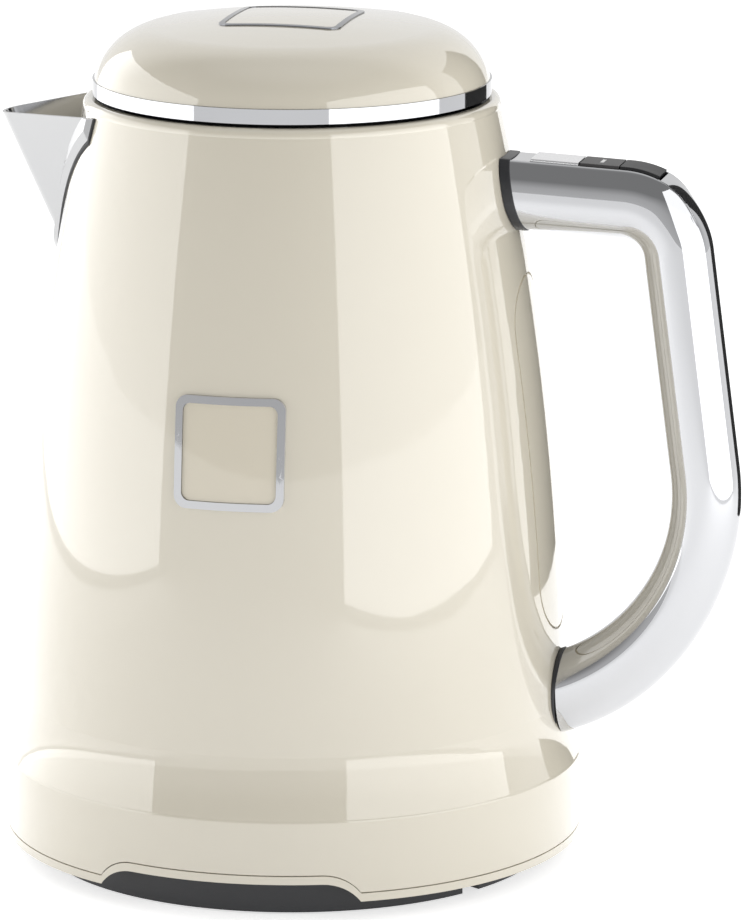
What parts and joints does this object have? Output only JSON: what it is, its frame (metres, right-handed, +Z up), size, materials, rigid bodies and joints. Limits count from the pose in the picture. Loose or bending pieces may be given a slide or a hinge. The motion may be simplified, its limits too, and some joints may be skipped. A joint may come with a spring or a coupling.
{
  "type": "electric kettle",
  "caption": "Cordless electric kettle: tapered enamel jug with domed hinged lid, folded steel spout, chrome tube handle with press controls, on a round swivel power base.",
  "frame": {"origin": "middle of the plane that the four feet stand on, on the axis of the jug", "axes": "+Z up, +X towards the handle, -X towards the spout, -Y towards the badge on the front"},
  "size_m": [0.2207, 0.1702, 0.2487],
  "materials": {
    "cream": "gloss",
    "chrome": "polished",
    "steel": "satin",
    "black": "satin",
    "dark_key": "satin",
    "silver_key": "satin",
    "rubber": "matte",
    "brass": "plain",
    "board": "satin",
    "inlay": "gloss"
  },
  "bodies": {
    "base": {"base_housing": "black", "base_cover": "black", "base_feet": "rubber", "base_screws": "steel", "connector_post": "black", "contact_rings": "brass", "cord_gland": "rubber"},
    "connector": {"kettle_connector": "black"},
    "lid": {"lid_dome": "cream", "lid_ring": "chrome", "lid_liner": "black", "lid_seal": "rubber", "lid_frame": "chrome", "lid_inlay": "inlay", "lid_knuckle": "black", "lid_screws": "steel"},
    "release_button": {"lid_release_button": "silver_key"},
    "release_lever": {"release_lever": "black"},
    "power_button": {"power_button": "dark_key"},
    "temperature_button": {"temperature_button": "dark_key"},
    "jug": {"body_shell": "cream", "base_trim_ring": "cream", "bottom_cover": "black", "bottom_screws": "steel", "inner_vessel": "steel", "inner_neck": "steel", "heater_plate": "steel", "heating_element": "steel", "element_seal": "rubber", "thermostat": "black", "temperature_sensor": "steel", "mouth_ring": "black", "spout": "chrome", "spout_gasket": "rubber", "filter_frame": "black", "filter_mesh": "steel", "badge_frame": "chrome", "badge_plate": "inlay", "rear_panel": "cream", "upper_collar": "black", "lower_collar": "black", "handle_tube": "chrome", "handle_insert_upper": "black", "handle_insert_lower": "black", "handle_screws": "steel", "button_carrier": "black", "control_board": "board", "tact_switches": "black", "release_pivot": "steel", "hinge_pin": "steel"}
  },
  "joints": [
    {"name": "base_lift", "type": "slide", "parent": "base", "child": "connector", "axis": [0, 0, 1], "range_m": [0, 0.06]},
    {"name": "jug_swivel", "type": "hinge", "parent": "connector", "child": "jug", "pos_m": [0, 0, 0], "axis": [0, 0, 1], "continuous": true},
    {"name": "lid_hinge", "type": "hinge", "parent": "jug", "child": "lid", "pos_m": [0.0546, 0, 0.229], "axis": [0, 1, 0], "range_deg": [0, 75]},
    {"name": "release_press", "type": "slide", "parent": "jug", "child": "release_button", "axis": [-0.0471, 0, -0.9989], "range_m": [0, 0.0012], "stiffness_N_per_m": 400, "springref_m": -0.001},
    {"name": "release_rock", "type": "hinge", "parent": "jug", "child": "release_lever", "pos_m": [0.09392, 0, 0.19616], "axis": [0, -1, 0], "range_deg": [0, 4.4]},
    {"name": "power_press", "type": "slide", "parent": "jug", "child": "power_button", "axis": [-0.0471, 0, -0.9989], "range_m": [0, 0.0008], "stiffness_N_per_m": 400, "springref_m": -0.001},
    {"name": "temperature_press", "type": "slide", "parent": "jug", "child": "temperature_button", "axis": [-0.0471, 0, -0.9989], "range_m": [0, 0.0008], "stiffness_N_per_m": 400, "springref_m": -0.001}
  ],
  "couplings": [
    {"joint": "release_rock", "follows": "release_press", "rad_per_m": 63.9}
  ]
}
